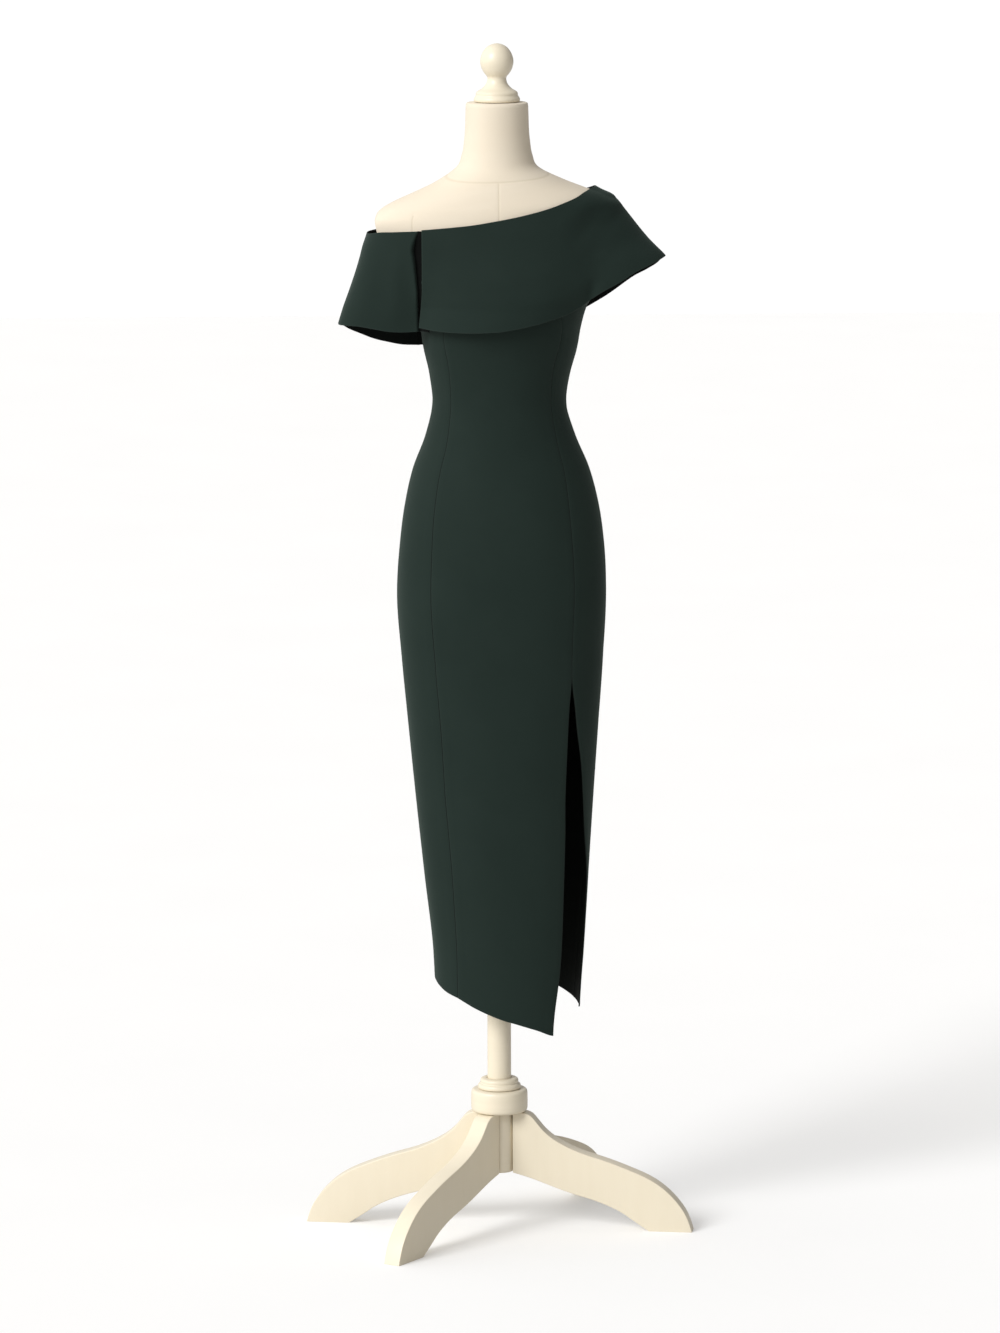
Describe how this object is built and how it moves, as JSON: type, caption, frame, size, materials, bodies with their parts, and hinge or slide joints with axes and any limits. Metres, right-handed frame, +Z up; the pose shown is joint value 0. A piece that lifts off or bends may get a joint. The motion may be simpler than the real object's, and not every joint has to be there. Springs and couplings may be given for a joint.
{
  "type": "off-shoulder dress on a limbless dress form and stand",
  "caption": "Fitted off-shoulder midi dress with a folded asymmetric band, flared sleeves and a front slit, on a limbless dress form with a turned wooden pole and scrolled feet.",
  "frame": {"origin": "on the floor under the pole's axis, at the middle of the footprint", "axes": "+Z up the pole, the dress faces -Y, the wearer's left is +X"},
  "size_m": [0.6062, 0.5158, 1.852],
  "materials": {
    "dress_crepe": "smooth matt stretch crepe with a soft sheen, deep bottle green",
    "band_crepe": "the same crepe, doubled, deep bottle green",
    "zip_metal": "satin enamel in the dress's green",
    "form_cover": "cream close-woven cotton, matt",
    "stand_wood": "cream satin paint"
  },
  "bodies": {
    "dress_and_form": {"front_centre": "dress_crepe", "front_side_right": "dress_crepe", "front_side_left": "dress_crepe", "back_side_right": "dress_crepe", "back_side_left": "dress_crepe", "back_centre_right": "dress_crepe", "back_centre_left": "dress_crepe", "overlay_front": "band_crepe", "overlay_back_left": "band_crepe", "overlay_back_right": "band_crepe", "sleeve_right": "band_crepe", "zip_slider": "zip_metal", "form_body": "form_cover", "form_seat": "stand_wood", "finial": "stand_wood", "pole": "stand_wood", "collar_upper": "stand_wood", "collar_lower": "stand_wood", "hub_column": "stand_wood", "leg_right": "stand_wood", "leg_left": "stand_wood", "leg_front": "stand_wood", "leg_back": "stand_wood"},
    "pull": {"zip_pull": "zip_metal"}
  },
  "joints": [
    {"name": "zip_pull_swing", "type": "hinge", "parent": "dress_and_form", "child": "pull", "pos_m": [0, 0.10351, 1.57488], "axis": [1, 0, 0], "range_deg": [0, 165]}
  ]
}
